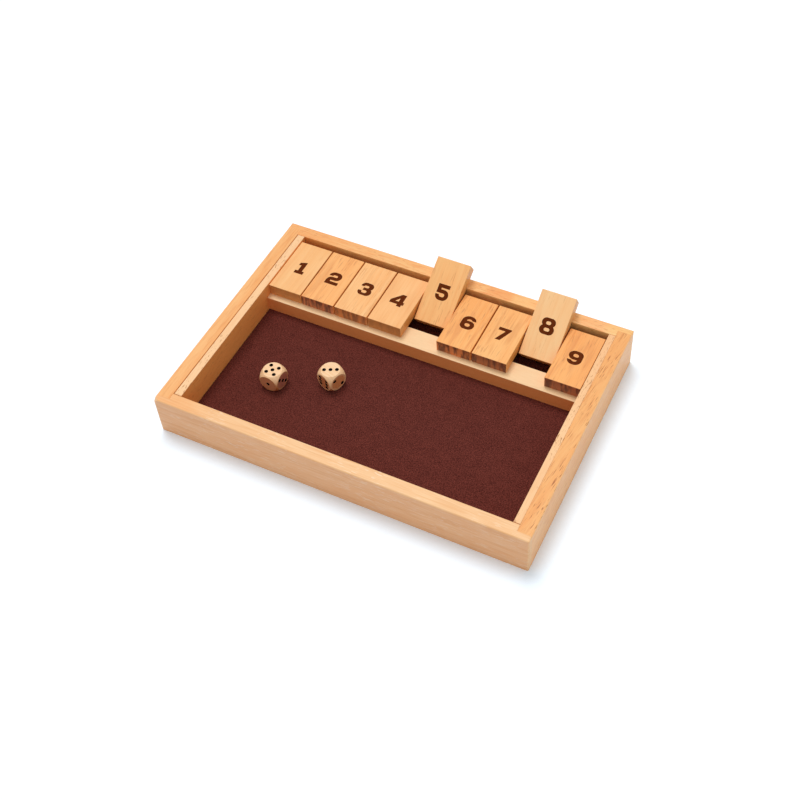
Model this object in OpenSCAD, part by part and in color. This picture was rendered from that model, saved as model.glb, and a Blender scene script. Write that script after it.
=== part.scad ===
// Shut the box: a wooden dice tray with nine numbered tiles that flip on one hidden rod.
// X runs along the row of tiles, +Y points to the back, +Z is up.
// The origin is the middle of the tray on the table. All sizes are in millimetres.

/* [Tray] */
// Outer width of the tray, along the row of tiles
tray_w = 290.8; // [270:0.1:330]
// Outer depth of the tray, front to back
tray_d = 200; // [185:1:240]
// Height of the rails above the table
tray_h = 35; // [31:0.5:45]
// Thickness of the front and back rails
end_rail_t = 10.4; // [8:0.1:14]
// Thickness of the left and right rails
side_rail_t = 10.7; // [8:0.1:14]
// Lip left on the front and back rails over the ends of the side rails
lip_t = 5; // [3.5:0.1:6]
// Rounding of the tray's outer top edges
rim_r = 1; // [0.5:0.1:2]
// Rounding of the rails' inner top edges
inner_edge_r = 0.5; // [0.2:0.1:1]
// Rounding of the upright outer corners
corner_r = 1.2; // [0.5:0.1:3]
// Radius to which the top of the front left corner is sanded down
soft_corner_r = 12; // [9:0.5:14]
// How much of that corner is sanded away
soft_corner_cut = 2; // [1.2:0.1:2.2]

/* [Floor] */
// Thickness of the plywood floor
panel_t = 3; // [2:0.1:4]
// Depth of the floor's groove in the rails
groove_deep = 4; // [2:0.1:5]
// Spare height in the groove above the floor
groove_play = 0.2; // [0.1:0.1:0.5]
// Space between the floor's edges and the bottom of the groove
panel_play = 0.3; // [0.1:0.1:1]
// Thickness of the felt
felt_t = 1; // [0.6:0.1:1.6]
// Space around the felt
felt_play = 0.3; // [0.1:0.1:1]

/* [Cheeks and tile rest] */
// Thickness of the left cheek strip, along the left rail
left_cheek_t = 6; // [4:0.1:8]
// Thickness of the right cheek strip, along the right rail
right_cheek_t = 5; // [4:0.1:8]
// Open joint between the left cheek and its rail
left_joint_gap = 0.5; // [0.1:0.1:0.8]
// Space at each end of a cheek
cheek_end_play = 0.3; // [0.1:0.1:0.8]
// Depth of the bar that the tiles lie on, front to back
rest_d = 17; // [13:0.5:22]
// Space at each end of that bar
rest_end_play = 0.1; // [0.1:0.1:0.4]
// Rounding of the top edges of the cheeks and the bar
strip_edge_r = 0.4; // [0.2:0.1:0.8]

/* [Tiles] */
// Length of a tile
tile_l = 52; // [46:0.5:60]
// Thickness of a tile
tile_t = 9.8; // [8.5:0.1:12]
// Space between two tiles
tile_gap = 1; // [0.6:0.1:1.6]
// Space between the left cheek and the first tile
first_gap = 0.2; // [0.2:0.1:1]
// Space between the last tile and the right cheek
last_gap = 0.6; // [0.2:0.1:1]
// How far a lowered tile lies on its rest
tile_bearing = 12.2; // [8:0.1:12.8]
// Space behind a lowered tile
tile_back_gap = 4.8; // [4.2:0.1:8]
// Drop from the rail tops to the top of a lowered tile
tile_drop = 1.4; // [0:0.1:3]
// Distance from the rod to the back end of a lowered tile
hinge_from_back = 15.6; // [13:0.1:17]
// Space under the back end of a tile as it swings past the felt
swing_clear = 1.05; // [0.6:0.05:1.6]
// Space left where a raised tile leans on the back rail
lean_gap = 0.15; // [0.1:0.05:0.5]
// Rounding of the tile's edges
tile_edge_r = 0.5; // [0.2:0.1:1]

/* [Hinge rod] */
// Diameter of the rod
rod_d = 3; // [2:0.1:4]
// Running clearance between rod and tile, on the radius
rod_play = 0.1; // [0.05:0.01:0.1]
// Clearance between rod and cheek, on the radius
seat_play = 0.05; // [0.03:0.01:0.1]
// Space between the ends of the rod and the side rails
rod_end_play = 0.3; // [0.1:0.1:1]

/* [Numbers] */
// Height of the numbers
number_h = 12.8; // [10:0.1:14]
// Depth that the numbers are cut into the tile
number_deep = 0.3; // [0.2:0.05:0.6]

/* [Dice] */
// Size of a die across its flat faces
die_size = 15.7; // [14:0.1:18]
// Diameter of the ball that rounds off its corners
die_ball_d = 21.2; // [20:0.1:23]
// Diameter of a pip
pip_d = 2.9; // [1.5:0.1:3.1]
// Depth of a pip
pip_deep = 0.9; // [0.5:0.1:1.5]
// Distance from the middle of a face to a pip, along each side
pip_step = 3.35; // [3:0.05:3.8]
// First die, from the tray's left side
die_1_x = 60.3; // [35:0.1:70]
// First die, from the tray's front
die_1_y = 63.9; // [28:0.1:66]
// Turn of the first die
die_1_turn = -3; // [-10:1:10]
// Second die, from the tray's left side
die_2_x = 99.3; // [94:0.1:240]
// Second die, from the tray's front
die_2_y = 81.4; // [28:0.1:82]
// Turn of the second die
die_2_turn = -20; // [-45:1:45]

/* [Hidden] */
$fn = 48;

// Sideways drift of each number, as far as it was cut off the middle of its tile
number_drift = [0.6, 0.7, 0.1, -0.7, 0.1, 0.4, -0.1, -0.1, -0.3];
// Tiles that stand raised
raised = [5, 8];
tile_count = 9;
over = 1; // how far a cutter runs past the surface it cuts

// The rod lies at half the thickness of a lowered tile
hinge_z = tray_h - tile_drop - tile_t / 2;
swing_r = norm([hinge_from_back, tile_t / 2]);
felt_top = hinge_z - swing_r - swing_clear;
panel_top = felt_top - felt_t;
panel_z = panel_top - panel_t;
rest_top = hinge_z - tile_t / 2;

// Front to back
back_inner_y = tray_d / 2 - end_rail_t;
hinge_y = back_inner_y - tile_back_gap - hinge_from_back;
tile_front_y = hinge_y + hinge_from_back - tile_l;
rest_back_y = tile_front_y + tile_bearing;

// Left to right
side_inner_x = tray_w / 2 - side_rail_t;
left_x = -side_inner_x + left_joint_gap + left_cheek_t;
right_x = side_inner_x - right_cheek_t;
clear_w = right_x - left_x;
tile_pitch = (clear_w - first_gap - last_gap + tile_gap) / tile_count;
tile_w = tile_pitch - tile_gap;

// A raised tile leans on the rounded inner edge of the back rail
edge_y = back_inner_y + inner_edge_r - hinge_y;
edge_z = tray_h - inner_edge_r - hinge_z;
lean = atan2(edge_z, edge_y) + asin((tile_t / 2 + inner_edge_r + lean_gap) / norm([edge_y, edge_z]));
flip = 180 - lean;

rail_wood = "#E8B57C";
strip_wood = "#F2CB98";
tile_wood = "#EDB878";

// ---------- shared shapes ----------

// Rectangle from (x0, y0) to (x1, y1) with a rounding of its own at each corner
module round_rect(x0, y0, x1, y1, low_left, low_right, top_right, top_left) {
    corners = [[x0, y0, low_left, 1, 1], [x1, y0, low_right, -1, 1],
        [x1, y1, top_right, -1, -1], [x0, y1, top_left, 1, -1]];
    difference() {
        translate([x0, y0]) square([x1 - x0, y1 - y0]);
        for (c = corners) if (c[2] > 0)
            translate([c[0], c[1]]) difference() {
                translate([c[3] > 0 ? -over : -c[2], c[4] > 0 ? -over : -c[2]])
                    square(c[2] + over);
                translate([c[3] * c[2], c[4] * c[2]]) circle(c[2]);
            }
    }
}

// Bar along X with the given outline in Y and Z
module along_x(x0, x1) translate([x0, 0, 0]) rotate([90, 0, 90]) linear_extrude(x1 - x0) children();

// Bar along Y with the given outline in X and Z
module along_y(y0, y1) translate([0, y1, 0]) rotate([90, 0, 0]) linear_extrude(y1 - y0) children();

// ---------- tray ----------

module floor_groove(x0, y0, x1, y1)
    translate([x0, y0, panel_z]) cube([x1 - x0, y1 - y0, panel_t + groove_play]);

// Front or back rail, drawn as the front one: rabbets at both ends and a groove for the floor
module end_rail() {
    y0 = -tray_d / 2;
    y1 = y0 + end_rail_t;
    color(rail_wood) difference() {
        intersection() {
            along_x(-tray_w / 2, tray_w / 2)
                round_rect(y0, 0, y1, tray_h, 0, 0, inner_edge_r, rim_r);
            along_y(y0, y1)
                round_rect(-tray_w / 2, 0, tray_w / 2, tray_h, 0, 0, rim_r, rim_r);
            linear_extrude(tray_h)
                round_rect(-tray_w / 2, y0, tray_w / 2, y1, corner_r, corner_r, 0, 0);
        }
        for (side = [-1, 1])
            translate([side * (side_inner_x + side_rail_t / 2 + over / 2), y0 + lip_t + end_rail_t / 2, tray_h / 2])
                cube([side_rail_t + over, end_rail_t, tray_h + 2 * over], center = true);
        floor_groove(-tray_w / 2, y1 - groove_deep, tray_w / 2, y1 + over);
    }
}

// What the sander takes off the top of a front left corner: its block less a ball
module sanded_off() {
    reach = (soft_corner_r + soft_corner_cut) / sqrt(3);
    translate([-tray_w / 2, -tray_d / 2, tray_h]) difference() {
        translate([-over, -over, -reach]) cube(reach + over);
        translate([reach, reach, -reach]) sphere(soft_corner_r);
    }
}

module front_rail() color(rail_wood) difference() {
    end_rail();
    sanded_off();
}

module back_rail() mirror([0, 1, 0]) end_rail();

// Side rail, drawn as the left one
module side_rail() {
    x0 = -tray_w / 2;
    x1 = -side_inner_x;
    half = tray_d / 2 - lip_t;
    color(rail_wood) difference() {
        along_y(-half, half) round_rect(x0, 0, x1, tray_h, 0, 0, inner_edge_r, rim_r);
        floor_groove(x1 - groove_deep, -tray_d / 2, x1 + over, tray_d / 2);
    }
}

module left_rail() side_rail();

module right_rail() mirror([1, 0, 0]) side_rail();

module base_panel() {
    reach = groove_deep - panel_play;
    w = 2 * (side_inner_x + reach);
    d = 2 * (back_inner_y + reach);
    color("#D9BC8C") translate([-w / 2, -d / 2, panel_z]) cube([w, d, panel_t]);
}

module felt_mat()
    color("#5A2A26") translate([left_x + felt_play, -back_inner_y + felt_play, panel_top])
        cube([clear_w - 2 * felt_play, 2 * (back_inner_y - felt_play), felt_t]);

// Strip against a side rail, from x0 to x0 + thick, with a hole for the rod
module cheek(x0, thick) {
    half = back_inner_y - cheek_end_play;
    color(strip_wood) difference() {
        along_y(-half, half)
            round_rect(x0, panel_top, x0 + thick, tray_h, 0, 0, strip_edge_r, strip_edge_r);
        translate([x0 - over, hinge_y, hinge_z]) rotate([0, 90, 0])
            cylinder(r = rod_d / 2 + seat_play, h = thick + 2 * over);
    }
}

module left_cheek() cheek(left_x - left_cheek_t, left_cheek_t);

module right_cheek() cheek(right_x, right_cheek_t);

module tile_rest()
    color(strip_wood) along_x(left_x + rest_end_play, right_x - rest_end_play)
        round_rect(rest_back_y - rest_d, felt_top, rest_back_y, rest_top,
            0, 0, strip_edge_r, strip_edge_r);

module hinge_rod() {
    half = side_inner_x - rod_end_play;
    color("#B9BCC0") translate([-half, hinge_y, hinge_z]) rotate([0, 90, 0])
        cylinder(d = rod_d, h = 2 * half);
}

// ---------- numbers ----------

// The numbers are drawn 13 mm high about their own middle, and scaled to their real height
drawn_h = 13;

// Block from (x0, y0) to (x1, y1) with all four corners rounded alike
module block(x0, y0, x1, y1, r = 0) round_rect(x0, y0, x1, y1, r, r, r, r);

// Wide round band: an outer block with an inner one left standing
module band(outer, outer_r, inner, inner_r) difference() {
    block(outer[0], outer[1], outer[2], outer[3], outer_r);
    block(inner[0], inner[1], inner[2], inner[3], inner_r);
}

module one() polygon([[-3.9, -6.5], [3.9, -6.5], [3.9, -3.4], [2, -3.4], [2, 6.7], [0.7, 6.6],
    [-3.7, 5], [-3.7, 2.2], [-1.6, 2.6], [-1.6, -3.4], [-3.9, -3.4]]);

module two() {
    difference() {
        band([-5.3, -1.9, 5.6, 6.7], 4.3, [-2, 1.4, 2.1, 3.6], 1.1);
        block(-6, -2.5, -0.6, 2.4);
    }
    block(-5.6, -6.5, 5.6, -3.4);
    difference() {
        round_rect(-5.6, -6.5, 1.3, 1.4, 0, 0, 0, 4.2);
        block(-2.2, -3.4, 7, -1.9, 0.7);
    }
}

module three() difference() {
    union() {
        block(-5.3, -0.9, 5.2, 6.7, 3.8);
        block(-5.65, -6.7, 5.65, 1, 3.85);
    }
    round_rect(-2.6, 1.3, 1.5, 3.6, 0, 1.1, 1.1, 1.1);
    round_rect(-2.6, -4.2, 1.6, -1.4, 1.3, 1.3, 1.3, 0);
    block(-7, -2.3, -2.4, 2.4);
}

module four() difference() {
    polygon([[-5.9, -4.4], [0.9, -4.4], [0.9, -6.5], [4.5, -6.5], [4.5, -4.4], [5.9, -4.4],
        [5.9, -1.5], [4.6, -1.5], [4.6, 6.3], [1, 6.3], [-5.9, -1.2]]);
    polygon([[-1.8, -1.5], [1, -1.5], [1, 2]]);
}

module five() {
    block(-5.1, 3.3, 4.6, 6.3);
    block(-5.1, -1, -2, 6.3);
    block(-5.1, -1, 0, 2);
    difference() {
        band([-5.3, -6.7, 5.3, 2], 4.3, [-2.2, -3.9, 2.1, -1], 1.4);
        block(-6, -2.2, -0.7, 2.2);
    }
}

module six() {
    band([-5.6, -6.7, 5.6, 1.9], 4.25, [-2.1, -3.9, 2.1, -0.8], 1.5);
    difference() {
        band([-5.6, -6.7, 5.5, 6.7], 5, [-2.1, -3.9, 2.4, 3.7], 2.1);
        block(0, -7, 7, 2.6);
    }
}

module seven() polygon([[-5.1, 3.2], [-5.1, 6.2], [5.1, 6.2], [5.1, 4.9], [-0.1, -6.5],
    [-4.1, -6.5], [0.8, 3.2]]);

module eight() difference() {
    union() {
        block(-5.5, -0.6, 5.4, 6.4, 3.5);
        block(-5.8, -6.7, 5.8, 0.9, 3.75);
    }
    block(-2, 1.1, 1.8, 3.7, 1.25);
    block(-2.2, -4.1, 2.2, -1.5, 1.25);
}

module number(n) {
    if (n == 1) one();
    if (n == 2) two();
    if (n == 3) three();
    if (n == 4) four();
    if (n == 5) five();
    if (n == 6) six();
    if (n == 7) seven();
    if (n == 8) eight();
    if (n == 9) rotate(180) six();
}

// ---------- tiles ----------

// One tile lying flat about its own middle, its back end towards +Y
module flat_tile(n) {
    w = tile_w / 2;
    l = tile_l / 2;
    t = tile_t / 2;
    r = tile_edge_r;
    difference() {
        intersection() {
            along_x(-w, w) round_rect(-l, -t, l, t, r, r, r, r);
            along_y(-l, l) round_rect(-w, -t, w, t, r, r, r, r);
            translate([0, 0, -t]) linear_extrude(tile_t) round_rect(-w, -l, w, l, r, r, r, r);
        }
        for (face = [0, 180])
            rotate([face, 0, 0]) translate([number_drift[n - 1], 0, t - number_deep])
                scale(number_h / drawn_h) linear_extrude(number_deep + over) number(n);
        translate([-w - over, l - hinge_from_back, 0]) rotate([0, 90, 0])
            cylinder(r = rod_d / 2 + rod_play, h = tile_w + 2 * over);
    }
}

// A tile in its place on the rod, lowered or raised
module tile(n) {
    x = left_x + first_gap + tile_w / 2 + (n - 1) * tile_pitch;
    is_up = len(search(n, raised)) > 0;
    color(tile_wood) translate([x, hinge_y, hinge_z]) rotate([is_up ? -flip : 0, 0, 0])
        translate([0, hinge_from_back - tile_l / 2, 0]) flat_tile(n);
}

// ---------- dice ----------

function pip_spots(n) = [
    if (n % 2 == 1) [0, 0],
    if (n > 1) each [[-1, 1], [1, -1]],
    if (n > 3) each [[-1, -1], [1, 1]],
    if (n == 6) each [[-1, 0], [1, 0]]];

// The n pips of one face, which looks along +Z
module pips(n, turn = 0)
    for (spot = pip_spots(n)) rotate(turn) translate(concat(spot * pip_step, die_size / 2 - pip_deep))
        cylinder(d = pip_d, h = pip_deep + over);

// Opposite faces of a die add up to seven
module die(top, front, right, top_turn) {
    color("#EAC595") difference() {
        intersection() {
            cube(die_size, center = true);
            sphere(d = die_ball_d);
        }
        pips(top, top_turn);
        rotate([180, 0, 0]) pips(7 - top);
        rotate([90, 0, 0]) pips(front);
        rotate([90, 0, 180]) pips(7 - front);
        rotate([90, 0, 90]) pips(right);
        rotate([90, 0, 270]) pips(7 - right);
    }
}

// Place on the felt, measured from the tray's front left corner
module on_felt(x, y, turn)
    translate([x - tray_w / 2, y - tray_d / 2, felt_top + die_size / 2]) rotate(turn) children();

module die_1() on_felt(die_1_x, die_1_y, die_1_turn) die(5, 1, 3, 0);

module die_2() on_felt(die_2_x, die_2_y, die_2_turn) die(3, 6, 2, 90);

front_rail();
back_rail();
left_rail();
right_rail();
base_panel();
felt_mat();
left_cheek();
right_cheek();
tile_rest();
hinge_rod();
tile(1);  // tile_1
tile(2);  // tile_2
tile(3);  // tile_3
tile(4);  // tile_4
tile(5);  // tile_5
tile(6);  // tile_6
tile(7);  // tile_7
tile(8);  // tile_8
tile(9);  // tile_9
die_1();
die_2();
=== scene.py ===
import math

import bmesh
import bpy
from mathutils import Euler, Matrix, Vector, noise


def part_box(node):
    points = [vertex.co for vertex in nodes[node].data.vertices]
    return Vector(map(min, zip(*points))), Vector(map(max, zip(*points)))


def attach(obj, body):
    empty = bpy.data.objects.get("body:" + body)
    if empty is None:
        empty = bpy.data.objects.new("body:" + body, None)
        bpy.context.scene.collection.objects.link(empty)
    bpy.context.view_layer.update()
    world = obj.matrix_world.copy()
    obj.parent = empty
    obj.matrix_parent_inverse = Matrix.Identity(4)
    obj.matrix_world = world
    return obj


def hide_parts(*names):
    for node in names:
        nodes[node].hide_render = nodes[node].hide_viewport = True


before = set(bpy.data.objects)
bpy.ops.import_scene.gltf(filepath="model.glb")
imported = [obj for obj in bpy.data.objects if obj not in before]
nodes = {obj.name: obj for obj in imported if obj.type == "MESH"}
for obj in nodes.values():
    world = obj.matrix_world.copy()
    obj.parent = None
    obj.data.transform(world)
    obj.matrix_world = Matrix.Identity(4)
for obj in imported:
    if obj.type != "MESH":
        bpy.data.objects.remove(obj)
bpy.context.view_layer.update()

# ---------- Camera, table and light ----------
# The game lies on a plain white table in a white room. Over half of the light comes evenly from the room and
# the rest from one broad lamp, high up at the back left, so tops are bright and shadows short and soft.

scene = bpy.context.scene
scene.view_settings.view_transform = "Standard"

camera = bpy.data.objects.new("camera", bpy.data.cameras.new("camera"))
camera.data.sensor_width = 36  # mm
camera.data.lens = 56.752  # mm
camera.data.shift_x = -0.04857
camera.data.shift_y = -0.09737
camera.location = (0.30227, -0.51255, 0.73164)
camera.rotation_euler = [math.radians(a) for a in (42.2537, 1.8432, 25.4648)]
scene.collection.objects.link(camera)
scene.camera = camera


def add(tree, kind, inputs={}, **settings):
    """Adds a node with its settings, and gives each named input a value or the socket that feeds it."""
    node = tree.nodes.new(kind)
    for name, value in settings.items():
        setattr(node, name, value)
    for name, value in inputs.items():
        if isinstance(value, bpy.types.NodeSocket):
            tree.links.new(value, node.inputs[name])
        else:
            node.inputs[name].default_value = value
    return node


def paint(code):
    """Linear colour of an sRGB hex value."""
    parts = [int(code[i:i + 2], 16) / 255 for i in (1, 3, 5)]
    return (*[c / 12.92 if c <= 0.04045 else ((c + 0.055) / 1.055) ** 2.4 for c in parts], 1)


def seen_directly(tree):
    """One for rays that come straight from the eye, off a shiny surface or through glass, and zero for light."""
    path = add(tree, "ShaderNodeLightPath")
    seen = path.outputs["Is Camera Ray"]
    for kind in ("Is Glossy Ray", "Is Transmission Ray"):
        seen = add(tree, "ShaderNodeMath", {0: seen, 1: path.outputs[kind]}, operation="MAXIMUM").outputs[0]
    return seen


def new_finish(name):
    """An empty material, its node tree and its output."""
    material = bpy.data.materials.new(name)
    material.use_nodes = True
    material.node_tree.nodes.clear()
    return material, material.node_tree, add(material.node_tree, "ShaderNodeOutputMaterial")


table_size = 6  # m
bm = bmesh.new()
bmesh.ops.create_grid(bm, x_segments=1, y_segments=1, size=table_size / 2)
table_top = bpy.data.objects.new("table_top", bpy.data.meshes.new("table_top"))
bm.to_mesh(table_top.data)
bm.free()
scene.collection.objects.link(table_top)

# White laminate: as the eye sees it, it is brighter than white and a little cool, so only the darkest part of
# the tray's shadow shows on it. As it lights the tray, it is plain pale grey.
laminate_grey = (0.8, 0.8, 0.8, 1)
laminate_seen = (1.035, 1.165, 1.28, 1)
white_laminate, tree, output = new_finish("white_laminate")
white = add(tree, "ShaderNodeMix", {"Factor": seen_directly(tree), "A": laminate_grey, "B": laminate_seen},
    data_type="RGBA")
surface = add(tree, "ShaderNodeBsdfDiffuse", {"Color": white.outputs["Result"]})
tree.links.new(surface.outputs[0], output.inputs["Surface"])
table_top.data.materials.append(white_laminate)

room = bpy.data.worlds.new("white_room")
scene.world = room
room.use_nodes = True
tree = room.node_tree
tree.nodes.clear()
room_light = 0.6  # the walls themselves are seen as plain white
level = add(tree, "ShaderNodeMix", {"Factor": seen_directly(tree), "A": room_light, "B": 1.0}, data_type="FLOAT")
walls = add(tree, "ShaderNodeBackground", {"Color": (1, 1, 1, 1), "Strength": level.outputs["Result"]})
add(tree, "ShaderNodeOutputWorld", {"Surface": walls.outputs[0]})

lamp = bpy.data.objects.new("lamp", bpy.data.lights.new("lamp", "SUN"))
lamp.data.energy = 1.34
lamp.data.angle = math.radians(24)
lamp.rotation_euler = Vector((-0.24, 0.24, 1)).to_track_quat("Z", "Y").to_euler()
scene.collection.objects.link(lamp)

# ---------- Rails ----------
# Four walls of pine, planed, sanded and sprayed with satin lacquer. The front and back rails run the full
# width and lap over the ends of the side rails, which stand in their rabbets. The grain runs along each rail.


def grain_noise(tree, place, across, along, low, high, top=1.0, detail=2.0):
    """Noise whose features are across mm wide and along mm long, spread from 0 at low to top at high."""
    scaled = add(tree, "ShaderNodeVectorMath", {0: place, 1: (0.5 / across, 0.5 / along, 0.5 / across)},
        operation="MULTIPLY")
    noisy = add(tree, "ShaderNodeTexNoise", {"Vector": scaled.outputs[0], "Scale": 1.0, "Detail": detail})
    return add(tree, "ShaderNodeMapRange", {"Value": noisy.outputs[0], "From Min": low, "From Max": high,
        "To Max": top}).outputs[0]


def lacquered_wood(name, place, turn, colours, seed, ring_gap=3.0, pith=(-30, -55), wave=3.0, rings=0.5,
        lines=0.0, fibres=0.35, shade=0.35, streaks=0.3, streak_size=(0.8, 7), pores=0.3, pore_size=(0.5, 2.2),
        edge_pores=1.0, drift=None, patches=(), painted_face_shade={}, end=None, burnt=None, roughness=0.42):
    """Sawn and lacquered wood with its grain along local Y: place and turn put local millimetres on the piece.

    colours are pale wood, dark wood, streaks and pores. pith is where the tree's middle lies in local X and Z.
    rings, lines, fibres, shade, streaks and pores are how strongly each part of the figure shows, and edge_pores
    is the share of the pores that is left on faces that don't look up or down. drift is (half length, colour) of
    a board whose tone changes towards its +Y end. patches are (middle, half length, fade, colour) along Y, of
    redder places in the board's top. The face tints give painted shade: the colour that multiplies the wood's own
    on faces that look along a local direction, so a face is darker or lighter by which way it looks to the light.
    end is (base, streaks, strength) of end grain. burnt is (half size, half thickness of the board, floor colours,
    wall colour) of a number cut in both faces."""
    material, tree, output = new_finish(name)
    coordinate = add(tree, "ShaderNodeTexCoord")
    local = add(tree, "ShaderNodeMapping", {"Vector": coordinate.outputs["Object"], "Location": place,
        "Rotation": turn, "Scale": (0.001, 0.001, 0.001)}, vector_type="TEXTURE").outputs[0]
    facing = add(tree, "ShaderNodeMapping", {"Vector": coordinate.outputs["Normal"], "Rotation": turn},
        vector_type="TEXTURE").outputs[0]
    facing_up = add(tree, "ShaderNodeSeparateXYZ", {"Vector": facing}).outputs["Z"]
    moved = add(tree, "ShaderNodeVectorMath", {0: local, 1: (seed * 61.7, seed * 37.3, seed * 23.9)},
        operation="ADD").outputs[0]

    # Slow waves bend the growth rings along the board.
    slow = add(tree, "ShaderNodeVectorMath", {0: moved, 1: (0.03, 0.006, 0.03)}, operation="MULTIPLY")
    waves = add(tree, "ShaderNodeTexNoise", {"Vector": slow.outputs[0], "Scale": 1.0, "Detail": 2.0})
    bend = add(tree, "ShaderNodeVectorMath", {0: waves.outputs["Color"], 1: (0.5, 0.5, 0.5)}, operation="SUBTRACT")
    bend = add(tree, "ShaderNodeVectorMath", {0: bend.outputs[0], "Scale": wave * 4}, operation="SCALE")
    bent = add(tree, "ShaderNodeVectorMath", {0: local, 1: bend.outputs[0]}, operation="ADD")
    away = add(tree, "ShaderNodeVectorMath", {0: bent.outputs[0], 1: (pith[0], 0, pith[1])}, operation="SUBTRACT")
    away = add(tree, "ShaderNodeVectorMath", {0: away.outputs[0], 1: (1, 0.02, 1)}, operation="MULTIPLY")
    radius = add(tree, "ShaderNodeVectorMath", {0: away.outputs[0]}, operation="LENGTH")
    ring_number = add(tree, "ShaderNodeMath", {0: radius.outputs["Value"], 1: 1 / ring_gap}, operation="MULTIPLY")
    ring = add(tree, "ShaderNodeTexNoise", {"W": ring_number.outputs[0], "Scale": 1.0, "Detail": 3.0,
        "Roughness": 0.6}, noise_dimensions="1D")
    ring = add(tree, "ShaderNodeMapRange", {"Value": ring.outputs[0], "From Min": 0.35, "From Max": 0.75,
        "To Max": rings}).outputs[0]

    # Each growth ring ends in a thin line of late wood, broken where the saw ran out of it.
    uneven = add(tree, "ShaderNodeMath", {0: ring, 1: 1.5, 2: ring_number.outputs[0]}, operation="MULTIPLY_ADD")
    late = add(tree, "ShaderNodeMath", {0: uneven.outputs[0]}, operation="FRACT")
    late = add(tree, "ShaderNodeMapRange", {"Value": late.outputs[0], "From Min": 0.76, "From Max": 0.96,
        "To Max": lines}).outputs[0]
    kept = grain_noise(tree, moved, 1.2, 9, 0.42, 0.56, detail=1.0)
    late = add(tree, "ShaderNodeMath", {0: late, 1: kept}, operation="MULTIPLY").outputs[0]

    # Fibres are fine streaks, and the shade is how one part of the board is darker than the next.
    fibre = grain_noise(tree, moved, 0.35, 10, 0.3, 0.7, detail=3.0)
    broad = grain_noise(tree, moved, 9, 26, 0.3, 0.7)
    amount = add(tree, "ShaderNodeMath", {0: fibre, 1: fibres, 2: ring}, operation="MULTIPLY_ADD")
    amount = add(tree, "ShaderNodeMath", {0: broad, 1: shade, 2: amount.outputs[0]}, operation="MULTIPLY_ADD",
        use_clamp=True)
    pale, dark, streak_colour, pore_colour = [paint(code) for code in colours]
    colour = add(tree, "ShaderNodeMix", {"Factor": amount.outputs[0], "A": pale, "B": dark},
        data_type="RGBA").outputs["Result"]

    # Streaks are long and soft. Pores are short dashes, dark or filled with pale lacquer, that crowd together
    # in some parts of the board. A real one is 0.2 mm wide; they are drawn about twice as wide, so that they show.
    streak = grain_noise(tree, moved, *streak_size, 0.52, 0.68, streaks, detail=1.0)
    patch = grain_noise(tree, moved, 7, 16, 0.35, 0.6, pores)
    pore = grain_noise(tree, moved, *pore_size, 0.6, 0.68, detail=1.0)
    pore = add(tree, "ShaderNodeMath", {0: pore, 1: patch}, operation="MULTIPLY").outputs[0]
    if edge_pores < 1:
        level = add(tree, "ShaderNodeMath", {0: facing_up}, operation="ABSOLUTE")
        share = add(tree, "ShaderNodeMapRange", {"Value": level.outputs[0], "From Min": 0.3, "From Max": 0.7,
            "To Min": edge_pores, "To Max": 1.0})
        pore = add(tree, "ShaderNodeMath", {0: pore, 1: share.outputs[0]}, operation="MULTIPLY").outputs[0]
    for mask, figure in ((streak, streak_colour), (late, streak_colour), (pore, pore_colour)):
        colour = add(tree, "ShaderNodeMix", {"Factor": mask, "A": colour, "B": figure},
            data_type="RGBA").outputs["Result"]

    tints = []
    if drift:
        # One end of the board grew nearer the middle of the tree, so it is darker.
        half_length, tint = drift
        along = add(tree, "ShaderNodeSeparateXYZ", {"Vector": local})
        along = add(tree, "ShaderNodeMapRange", {"Value": along.outputs["Y"], "From Min": -half_length,
            "From Max": half_length})
        tints.append((along, tint))

    # Where the plane cut into heartwood, the top is redder for a few centimetres.
    for patch_middle, half_length, fade, tint in patches:
        along = add(tree, "ShaderNodeSeparateXYZ", {"Vector": bent.outputs[0]})
        along = add(tree, "ShaderNodeMath", {0: along.outputs["Y"], 1: patch_middle}, operation="SUBTRACT")
        along = add(tree, "ShaderNodeMath", {0: along.outputs[0]}, operation="ABSOLUTE")
        red = add(tree, "ShaderNodeMapRange", {"Value": along.outputs[0], "From Min": half_length + fade,
            "From Max": half_length})
        top = add(tree, "ShaderNodeMapRange", {"Value": facing_up, "From Min": 0.6, "From Max": 0.95})
        red = add(tree, "ShaderNodeMath", {0: red.outputs[0], 1: top.outputs[0]}, operation="MULTIPLY")
        tints.append((red, tint))

    # Painted shade: each face is tinted darker or lighter by which way it looks, for how the light falls on it.
    for direction, tint in painted_face_shade.items():
        turned = add(tree, "ShaderNodeVectorMath", {0: facing, 1: direction}, operation="DOT_PRODUCT")
        shaded_face = add(tree, "ShaderNodeMapRange", {"Value": turned.outputs["Value"], "From Min": 0.88,
            "From Max": 0.98})
        tints.append((shaded_face, tint))
    for mask, tint in tints:
        colour = add(tree, "ShaderNodeMix", {"Factor": mask.outputs[0], "A": colour, "B": paint(tint)},
            data_type="RGBA", blend_type="MULTIPLY").outputs["Result"]

    if end:
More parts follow.
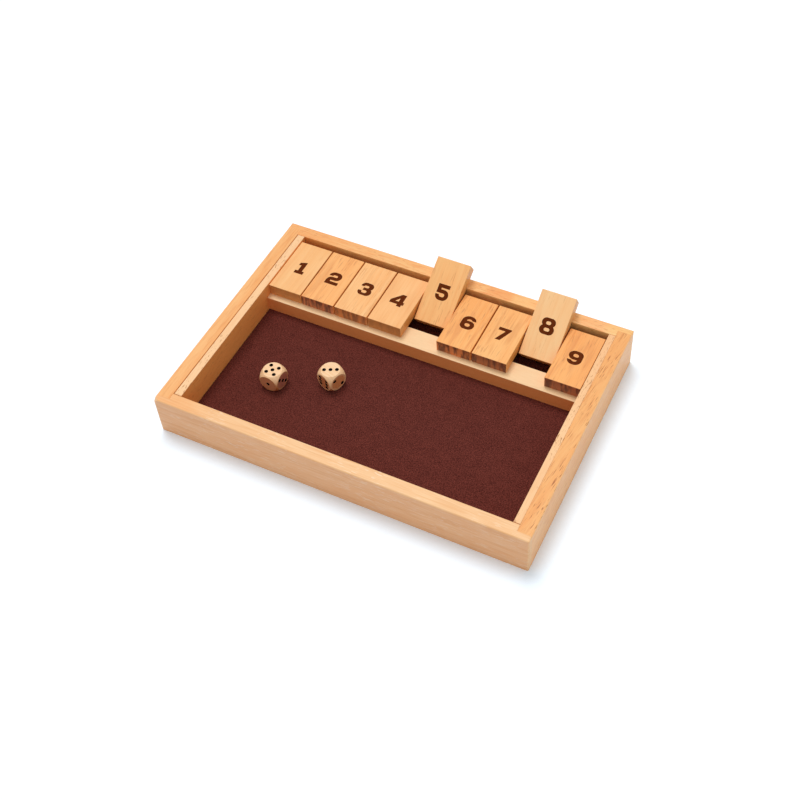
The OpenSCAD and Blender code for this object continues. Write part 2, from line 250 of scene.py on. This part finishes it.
        # End grain drinks the most lacquer, and the growth rings cross it as dark bars.
        end_base, end_streak, strength = end
        turned = add(tree, "ShaderNodeVectorMath", {0: facing}, operation="ABSOLUTE")
        turned = add(tree, "ShaderNodeSeparateXYZ", {"Vector": turned.outputs[0]})
        is_end = add(tree, "ShaderNodeMapRange", {"Value": turned.outputs["Y"], "From Min": 0.6, "From Max": 0.9})
        across = add(tree, "ShaderNodeVectorMath", {0: moved, 1: (0.34, 0.01, 0.07)}, operation="MULTIPLY")
        bars = add(tree, "ShaderNodeTexNoise", {"Vector": across.outputs[0], "Scale": 1.0, "Detail": 2.5})
        bars = add(tree, "ShaderNodeMapRange", {"Value": bars.outputs[0], "From Min": 0.42, "From Max": 0.6,
            "To Max": strength})
        barred = add(tree, "ShaderNodeMix", {"Factor": bars.outputs[0], "A": paint(end_base),
            "B": paint(end_streak)}, data_type="RGBA")
        colour = add(tree, "ShaderNodeMix", {"Factor": is_end.outputs[0], "A": colour,
            "B": barred.outputs["Result"]}, data_type="RGBA").outputs["Result"]

    rough = add(tree, "ShaderNodeMapRange", {"Value": fibre, "To Min": roughness - 0.05,
        "To Max": roughness + 0.07}).outputs[0]
    shine = 0.5
    if burnt:
        # A number is burnt into the wood: its floor is brown char and its walls are nearly black.
        half_size, half_thick, floor_colours, wall_colour = burnt
        number_deep, hair = 0.3, 0.01  # mm, how deep it is cut and a hair to spare
        size = add(tree, "ShaderNodeVectorMath", {0: local}, operation="ABSOLUTE")
        size = add(tree, "ShaderNodeSeparateXYZ", {"Vector": size.outputs[0]})
        burn = 1.0
        for part, kind, limit in (("X", "LESS_THAN", half_size), ("Y", "LESS_THAN", half_size),
                ("Z", "LESS_THAN", half_thick - hair), ("Z", "GREATER_THAN", half_thick - 2 * number_deep)):
            inside = add(tree, "ShaderNodeMath", {0: size.outputs[part], 1: limit}, operation=kind)
            burn = add(tree, "ShaderNodeMath", {0: inside.outputs[0], 1: burn}, operation="MULTIPLY").outputs[0]
        is_wall = add(tree, "ShaderNodeMath", {0: size.outputs["Z"], 1: half_thick - number_deep + hair},
            operation="GREATER_THAN")
        char = grain_noise(tree, moved, 0.6, 0.6, 0.35, 0.65)
        char = add(tree, "ShaderNodeMix", {"Factor": char, "A": paint(floor_colours[0]),
            "B": paint(floor_colours[1])}, data_type="RGBA")
        char = add(tree, "ShaderNodeMix", {"Factor": is_wall.outputs[0], "A": char.outputs["Result"],
            "B": paint(wall_colour)}, data_type="RGBA")
        colour = add(tree, "ShaderNodeMix", {"Factor": burn, "A": colour, "B": char.outputs["Result"]},
            data_type="RGBA").outputs["Result"]
        rough = add(tree, "ShaderNodeMix", {"Factor": burn, "A": rough, "B": 0.9},
            data_type="FLOAT").outputs["Result"]
        shine = add(tree, "ShaderNodeMix", {"Factor": burn, "A": shine, "B": 0.05},
            data_type="FLOAT").outputs["Result"]

    relief = add(tree, "ShaderNodeMath", {0: pore, 1: -0.3, 2: fibre}, operation="MULTIPLY_ADD")
    bump = add(tree, "ShaderNodeBump", {"Strength": 0.25, "Distance": 0.00006, "Height": relief.outputs[0]})
    surface = add(tree, "ShaderNodeBsdfPrincipled", {"Base Color": colour, "Roughness": rough, "IOR": 1.5,
        "Specular IOR Level": shine, "Normal": bump.outputs[0]})
    tree.links.new(surface.outputs[0], output.inputs["Surface"])
    return material


def middle(node):
    """The middle of a CAD node's box, in metres."""
    low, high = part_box(node)
    return (low + high) / 2


def finish_node(node, material):
    """Gives a CAD node its finish."""
    for slot in nodes[node].material_slots:
        slot.material = material


# A quarter turn lays the grain along X. Directions are the board's own: once it is turned, its -X looks to
# the front and its +X to the back.
quarter = (0, 0, math.radians(90))
west, east, up = (-1, 0, 0), (1, 0, 0), (0, 0, 1)
front, back = west, east
# The face tints are painted shade: each face of a rail is darker or lighter by which way it looks.
finish_node("front_rail", lacquered_wood("pine_front_rail", middle("front_rail"), quarter,
    ("#FBD19E", "#F2B77B", "#E3A25F", "#FFE4C4"), 1, ring_gap=4, pith=(35, 20), wave=6, rings=0.35, fibres=0.5,
    streaks=0.35, streak_size=(0.9, 16), pores=0.6, pore_size=(0.5, 3), patches=[(142, 24, 25, "#FEEDD7")],
    painted_face_shade={back: "#FFE6CC", front: "#FBF1F2"}))
finish_node("back_rail", lacquered_wood("pine_back_rail", middle("back_rail"), quarter,
    ("#FFD593", "#FFB86A", "#F5A052", "#E09A58"), 2, ring_gap=4, pith=(-25, 15), wave=6, rings=0.4, streaks=0.5,
    pores=0.6, drift=(140, "#F9DCC9"), patches=[(-37, 8, 5, "#FCE4D2"), (-119, 8, 6, "#FFF3F8")],
    painted_face_shade={front: "#FFFFF2", up: "#FAFFFF"}))
finish_node("left_rail", lacquered_wood("pine_left_rail", middle("left_rail"), (0, 0, 0),
    ("#FABE7A", "#F1A357", "#E08F46", "#C98A50"), 3, ring_gap=4, pith=(30, -30), wave=4, rings=0.35, streaks=0.4,
    pores=0.1, painted_face_shade={east: "#FFEED8"}))
finish_node("right_rail", lacquered_wood("pine_right_rail", middle("right_rail"), (0, 0, math.radians(-8)),
    ("#FFCD94", "#F9B26E", "#E59D5E", "#B97230"), 4, ring_gap=4, pith=(-20, -28), wave=5, rings=0.35, streaks=0.4,
    pores=1.0, pore_size=(0.35, 4), edge_pores=0.25, painted_face_shade={west: "#A87850", up: "#F7E7C7"}))

# ---------- Cheeks and tile rest ----------
# Thin planed strips of beech glued inside the side rails, and a bar of the same wood that the tiles lie on.
# Beech is paler than the pine and shows small brown flecks.

# The face tints are painted shade: the cheeks' inner and seam faces, the right cheek's top and the rest's front
# are darkened by which way they look.
for node, tints, seed in (
        ("left_cheek", {east: "#FFD59E"}, 5), ("right_cheek", {west: "#C89868", up: "#FEF9F3"}, 6)):
    finish_node(node, lacquered_wood("beech_" + node, middle(node), (0, 0, 0),
        ("#FDD19E", "#F6BC84", "#E8AC70", "#C08A54"), seed, ring_gap=3, pith=(10, -60), wave=2, rings=0.2,
        fibres=0.3, streaks=0.2, pores=1.0, pore_size=(0.5, 2), edge_pores=0.3, painted_face_shade=tints))
finish_node("tile_rest", lacquered_wood("beech_tile_rest", middle("tile_rest"), quarter,
    ("#FBD8A8", "#F3C48F", "#EBB77F", "#C99860"), 7, ring_gap=5, pith=(20, -50), wave=3, rings=0.25, streaks=0.15,
    pores=0.1, painted_face_shade={front: "#F6BC91"}))

# ---------- Floor panel ----------
# Thin birch plywood, left bare, held in a groove all round. It shows only from below.

finish_node("base_panel", lacquered_wood("birch_plywood", middle("base_panel"), quarter,
    ("#E9D3A8", "#D3B483", "#C7A473", "#A98552"), 8, ring_gap=9, pith=(5, -70), wave=12, rings=0.5, streaks=0.3,
    streak_size=(1.2, 30), pores=0.4, pore_size=(0.5, 5), roughness=0.6))

# ---------- Felt ----------
# One sheet of dark red-brown wool felt, cut to the tray's inside and glued to the floor panel. Its pressed
# fibres make a fine mottle of darker and lighter specks.

felt_low, felt_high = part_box("felt_mat")
mesh_step = 0.0012  # m
nap_high = 0.00006  # m, how far the nap goes up or down, never above the felt's top
fine_nap, coarse_nap = 400, 90  # tufts in a metre
counts = [max(2, round((felt_high[i] - felt_low[i]) / mesh_step)) for i in (0, 1)]
bm = bmesh.new()
rows = []
for j in range(counts[1] + 1):
    y = felt_low.y + (felt_high.y - felt_low.y) * j / counts[1]
    row = []
    for i in range(counts[0] + 1):
        x = felt_low.x + (felt_high.x - felt_low.x) * i / counts[0]
        fine = noise.noise(Vector((x * fine_nap, y * fine_nap, 3.1)))
        coarse = noise.noise(Vector((x * coarse_nap, y * coarse_nap, 7.7)))
        nap = fine * 0.5 + coarse * 0.5
        row.append(bm.verts.new((x, y, felt_high.z - nap_high + nap * nap_high)))
    rows.append(row)
for j in range(counts[1]):
    for i in range(counts[0]):
        bm.faces.new((rows[j][i], rows[j][i + 1], rows[j + 1][i + 1], rows[j + 1][i]))
rim = rows[0] + [r[-1] for r in rows[1:]] + rows[-1][-2::-1] + [r[0] for r in rows[-2:0:-1]]
under = [bm.verts.new((v.co.x, v.co.y, felt_low.z)) for v in rim]
for k, v in enumerate(rim):
    n = (k + 1) % len(rim)
    bm.faces.new((rim[n], v, under[k], under[n]))
bm.faces.new(under[::-1])
bmesh.ops.recalc_face_normals(bm, faces=bm.faces)
felt = bpy.data.objects.new("felt", bpy.data.meshes.new("felt"))
bm.to_mesh(felt.data)
bm.free()
scene.collection.objects.link(felt)

# Pressed wool: dull, with a faint sheen from the loose fibre ends.
wool_felt, tree, output = new_finish("wool_felt")
coordinate = add(tree, "ShaderNodeTexCoord")
local = add(tree, "ShaderNodeMapping", {"Vector": coordinate.outputs["Object"],
    "Scale": (1000, 1000, 1000)}).outputs[0]
speck = add(tree, "ShaderNodeTexNoise", {"Vector": local, "Scale": 1.5, "Detail": 3.0, "Roughness": 0.7})
speck = add(tree, "ShaderNodeMapRange", {"Value": speck.outputs[0], "From Min": 0.42, "From Max": 0.6})
cloud = add(tree, "ShaderNodeTexNoise", {"Vector": local, "Scale": 0.12, "Detail": 3.0})
cloud = add(tree, "ShaderNodeMapRange", {"Value": cloud.outputs[0], "From Min": 0.3, "From Max": 0.7,
    "To Max": 0.1})
mottle = add(tree, "ShaderNodeMath", {0: speck.outputs[0], 1: 0.75, 2: cloud.outputs[0]},
    operation="MULTIPLY_ADD")
colour = add(tree, "ShaderNodeMix", {"Factor": mottle.outputs[0], "A": paint("#401511"), "B": paint("#854237")},
    data_type="RGBA")
bump = add(tree, "ShaderNodeBump", {"Strength": 0.5, "Distance": 0.0002, "Height": speck.outputs[0]})
surface = add(tree, "ShaderNodeBsdfPrincipled", {"Base Color": colour.outputs["Result"], "Roughness": 0.95,
    "Specular IOR Level": 0.1, "Sheen Weight": 0.04, "Sheen Roughness": 0.5, "Normal": bump.outputs[0]})
tree.links.new(surface.outputs[0], output.inputs["Surface"])
felt.data.materials.append(wool_felt)

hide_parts("felt_mat")
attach(felt, "tray")

# ---------- Tiles ----------
# Nine pine tiles cut from boards of different figure, so each has its own tone. The number is burnt into
# both faces. They turn on the steel rod that runs through them near their back ends.

hinge = middle("hinge_rod")
tile_middle = middle("tile_1").y - hinge.y  # from the rod to the middle of a tile, towards its front end
tile_half = 4.9  # mm, half a tile's thickness
number_half = 7.5  # mm, half the square that a number stands in
flipped = math.radians(-149.664)  # a raised tile leans back on the back rail
raised_above = 0.04  # m, where the top of a raised tile is and that of a lying one isn't
tile_looks = {
    # number: pale, dark, streak and pore colours, ring gap, pith, streaks, pores, end colour, bars across it
    1: ("#FBC483", "#F3AC62", "#E59C58", "#C98A50", 3.4, (-60, -14), 0.2, 0.1, "#D98F4B", 0.1),
    2: ("#FEBB71", "#F5A252", "#DB8C45", "#B4723A", 2.6, (-45, -10), 0.6, 0.5, "#D57A4A", 0.8),
    3: ("#FEC888", "#F7AE64", "#DF954D", "#BE7E42", 3.0, (50, -12), 0.5, 0.3, "#DB8445", 0.55),
    4: ("#FCC382", "#F3AA62", "#E59C58", "#C98A50", 3.6, (60, -20), 0.3, 0.1, "#D08645", 0.15),
    # 5 and 8 are raised and lean back: their colours are their own tone, painted lighter to make up for the light
    #                                   they lose.
    5: ("#FFC984", "#FFB46B", "#F2A75F", "#B4723A", 4.2, (-30, -34), 0.4, 0.4, "#D98F4B", 0.3),
    6: ("#FDBA6D", "#F5A04C", "#D98642", "#B87236", 2.4, (40, -6), 0.65, 0.5, "#E68548", 0.8),
    7: ("#FEC178", "#F6A858", "#D5873F", "#A86A34", 2.4, (-46, -8), 0.7, 0.4, "#B8693D", 0.75),
    # 8 is raised like 5 and painted lighter in the same way.
    8: ("#FFD399", "#FFC07E", "#F4B06D", "#C98A50", 4.0, (30, -40), 0.25, 0.4, "#D98F4B", 0.3),
    9: ("#FDB669", "#F49D4A", "#D98440", "#B46E34", 2.3, (52, -6), 0.6, 0.55, "#B86942", 0.8),
}
for number, (pale, dark, streak, pore, ring_gap, pith, streaks, pores, end, bars) in tile_looks.items():
    node = "tile_%d" % number
    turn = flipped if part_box(node)[1].z > raised_above else 0
    place = Euler((turn, 0, 0)).to_matrix() @ Vector((0, tile_middle, 0)) + hinge
    place.x = middle(node).x
    # Painted shade: the tiles' sides are tinted darker for the shade in the narrow gaps between them.
    right_side_shade = "#A08058" if number == 9 else "#EDE6CF"  # painted shade, deepest beside the cheek
    finish_node(node, lacquered_wood("pine_" + node, place, (turn, 0, 0), (pale, dark, streak, pore), 10 + number,
        ring_gap=ring_gap, pith=pith, wave=2.5, rings=0.38, lines=streaks * 0.7, fibres=0.14, shade=0.5,
        streaks=0.1 + streaks * 0.5, streak_size=(2.2, 16), pores=pores, pore_size=(0.5, 5),
        painted_face_shade={east: right_side_shade, west: "#FFECD2"}, end=(end, "#552A20", bars),
        burnt=(number_half, tile_half, ("#5E260A", "#692F0F"), "#401806")))

# ---------- Hinge rod ----------
# Plain drawn steel rod, pushed through the cheeks and all nine tiles.

drawn_steel, tree, output = new_finish("drawn_steel")
coordinate = add(tree, "ShaderNodeTexCoord")
drawn = add(tree, "ShaderNodeMapping", {"Vector": coordinate.outputs["Object"], "Scale": (60, 6000, 6000)})
line = add(tree, "ShaderNodeTexNoise", {"Vector": drawn.outputs[0], "Scale": 1.0, "Detail": 2.0})
rough = add(tree, "ShaderNodeMapRange", {"Value": line.outputs[0], "To Min": 0.22, "To Max": 0.42})
surface = add(tree, "ShaderNodeBsdfPrincipled", {"Base Color": paint("#C6C8CA"), "Metallic": 1.0,
    "Roughness": rough.outputs[0]})
tree.links.new(surface.outputs[0], output.inputs["Surface"])
finish_node("hinge_rod", drawn_steel)

# ---------- Dice ----------
# Two maple dice, sawn as cubes and then turned to a ball at the corners. The pips are drilled and painted black,
# and the dice are dipped in lacquer.

die_half = 7.85  # mm, half the way across the flats
die_ball = 10.6  # mm, radius of the ball that rounds the corners
for node, turn, low_shade_start, front_flat_shade, right_flat_shade in (
        ("die_1", -3, 0.4, "#CF9169", "#AF6B56"), ("die_2", -20, 0.1, "#CB8051", "#DD925D")):
    material, tree, output = new_finish("maple_" + node)
    coordinate = add(tree, "ShaderNodeTexCoord")
    local = add(tree, "ShaderNodeMapping", {"Vector": coordinate.outputs["Object"], "Location": middle(node),
        "Rotation": (0, 0, math.radians(turn)), "Scale": (0.001, 0.001, 0.001)}, vector_type="TEXTURE").outputs[0]
    thin = add(tree, "ShaderNodeVectorMath", {0: local, 1: (0.12, 1.2, 1.2)}, operation="MULTIPLY")
    fibre = add(tree, "ShaderNodeTexNoise", {"Vector": thin.outputs[0], "Scale": 1.0, "Detail": 3.0})
    fibre = add(tree, "ShaderNodeMapRange", {"Value": fibre.outputs[0], "From Min": 0.3, "From Max": 0.7})
    colour = add(tree, "ShaderNodeMix", {"Factor": fibre.outputs[0], "A": paint("#FBD4A8"),
        "B": paint("#F3BF88")}, data_type="RGBA").outputs["Result"]

    # Painted shade: the lower half of the ball is painted browner, where it turns away from the light.
    facing = add(tree, "ShaderNodeSeparateXYZ", {"Vector": coordinate.outputs["Normal"]})
    low = add(tree, "ShaderNodeMapRange", {"Value": facing.outputs["Z"], "From Min": low_shade_start,
        "From Max": low_shade_start - 0.5})

    # Painted shade: the four upright flats are painted darker, as they face away from the light, with one colour
    # for the flat that looks right and another for the others. It fades out towards their round edge.
    upright = add(tree, "ShaderNodeMath", {0: facing.outputs["Z"]}, operation="ABSOLUTE")
    reach = add(tree, "ShaderNodeVectorMath", {0: local}, operation="LENGTH")
    side = add(tree, "ShaderNodeMath", {0: upright.outputs[0], 1: 0.05}, operation="LESS_THAN")
    fade = add(tree, "ShaderNodeMapRange", {"Value": reach.outputs["Value"], "From Min": die_ball - 1.2,
        "From Max": die_ball - 0.1, "To Min": 1.0, "To Max": 0.0})
    flat = add(tree, "ShaderNodeMath", {0: side.outputs[0], 1: fade.outputs[0]}, operation="MULTIPLY")
    is_end = add(tree, "ShaderNodeMapRange", {"Value": facing.outputs["X"], "From Min": 0.3, "From Max": 0.7})
    flat_shade = add(tree, "ShaderNodeMix", {"Factor": is_end.outputs[0], "A": paint(front_flat_shade),
        "B": paint(right_flat_shade)}, data_type="RGBA")

    # A pip's walls lie below the flat faces and inside the ball, and nothing else does.
    in_ball = add(tree, "ShaderNodeMath", {0: reach.outputs["Value"], 1: die_ball - 0.2}, operation="LESS_THAN")
    size = add(tree, "ShaderNodeVectorMath", {0: local}, operation="ABSOLUTE")
    size = add(tree, "ShaderNodeSeparateXYZ", {"Vector": size.outputs[0]})
    most = add(tree, "ShaderNodeMath", {0: size.outputs["X"], 1: size.outputs["Y"]}, operation="MAXIMUM")
    most = add(tree, "ShaderNodeMath", {0: most.outputs[0], 1: size.outputs["Z"]}, operation="MAXIMUM")
    below = add(tree, "ShaderNodeMath", {0: most.outputs[0], 1: die_half - 0.02}, operation="LESS_THAN")
    pip = add(tree, "ShaderNodeMath", {0: in_ball.outputs[0], 1: below.outputs[0]}, operation="MULTIPLY")
    for mask, layer in ((low, paint("#B87040")), (flat, flat_shade.outputs["Result"]), (pip, paint("#140804"))):
        colour = add(tree, "ShaderNodeMix", {"Factor": mask.outputs[0], "A": colour, "B": layer},
            data_type="RGBA").outputs["Result"]
    rough = add(tree, "ShaderNodeMix", {"Factor": pip.outputs[0], "A": 0.38, "B": 0.7}, data_type="FLOAT")
    shine = add(tree, "ShaderNodeMix", {"Factor": pip.outputs[0], "A": 0.5, "B": 0.05}, data_type="FLOAT")
    surface = add(tree, "ShaderNodeBsdfPrincipled", {"Base Color": colour, "IOR": 1.5,
        "Roughness": rough.outputs["Result"], "Specular IOR Level": shine.outputs["Result"]})
    tree.links.new(surface.outputs[0], output.inputs["Surface"])
    finish_node(node, material)
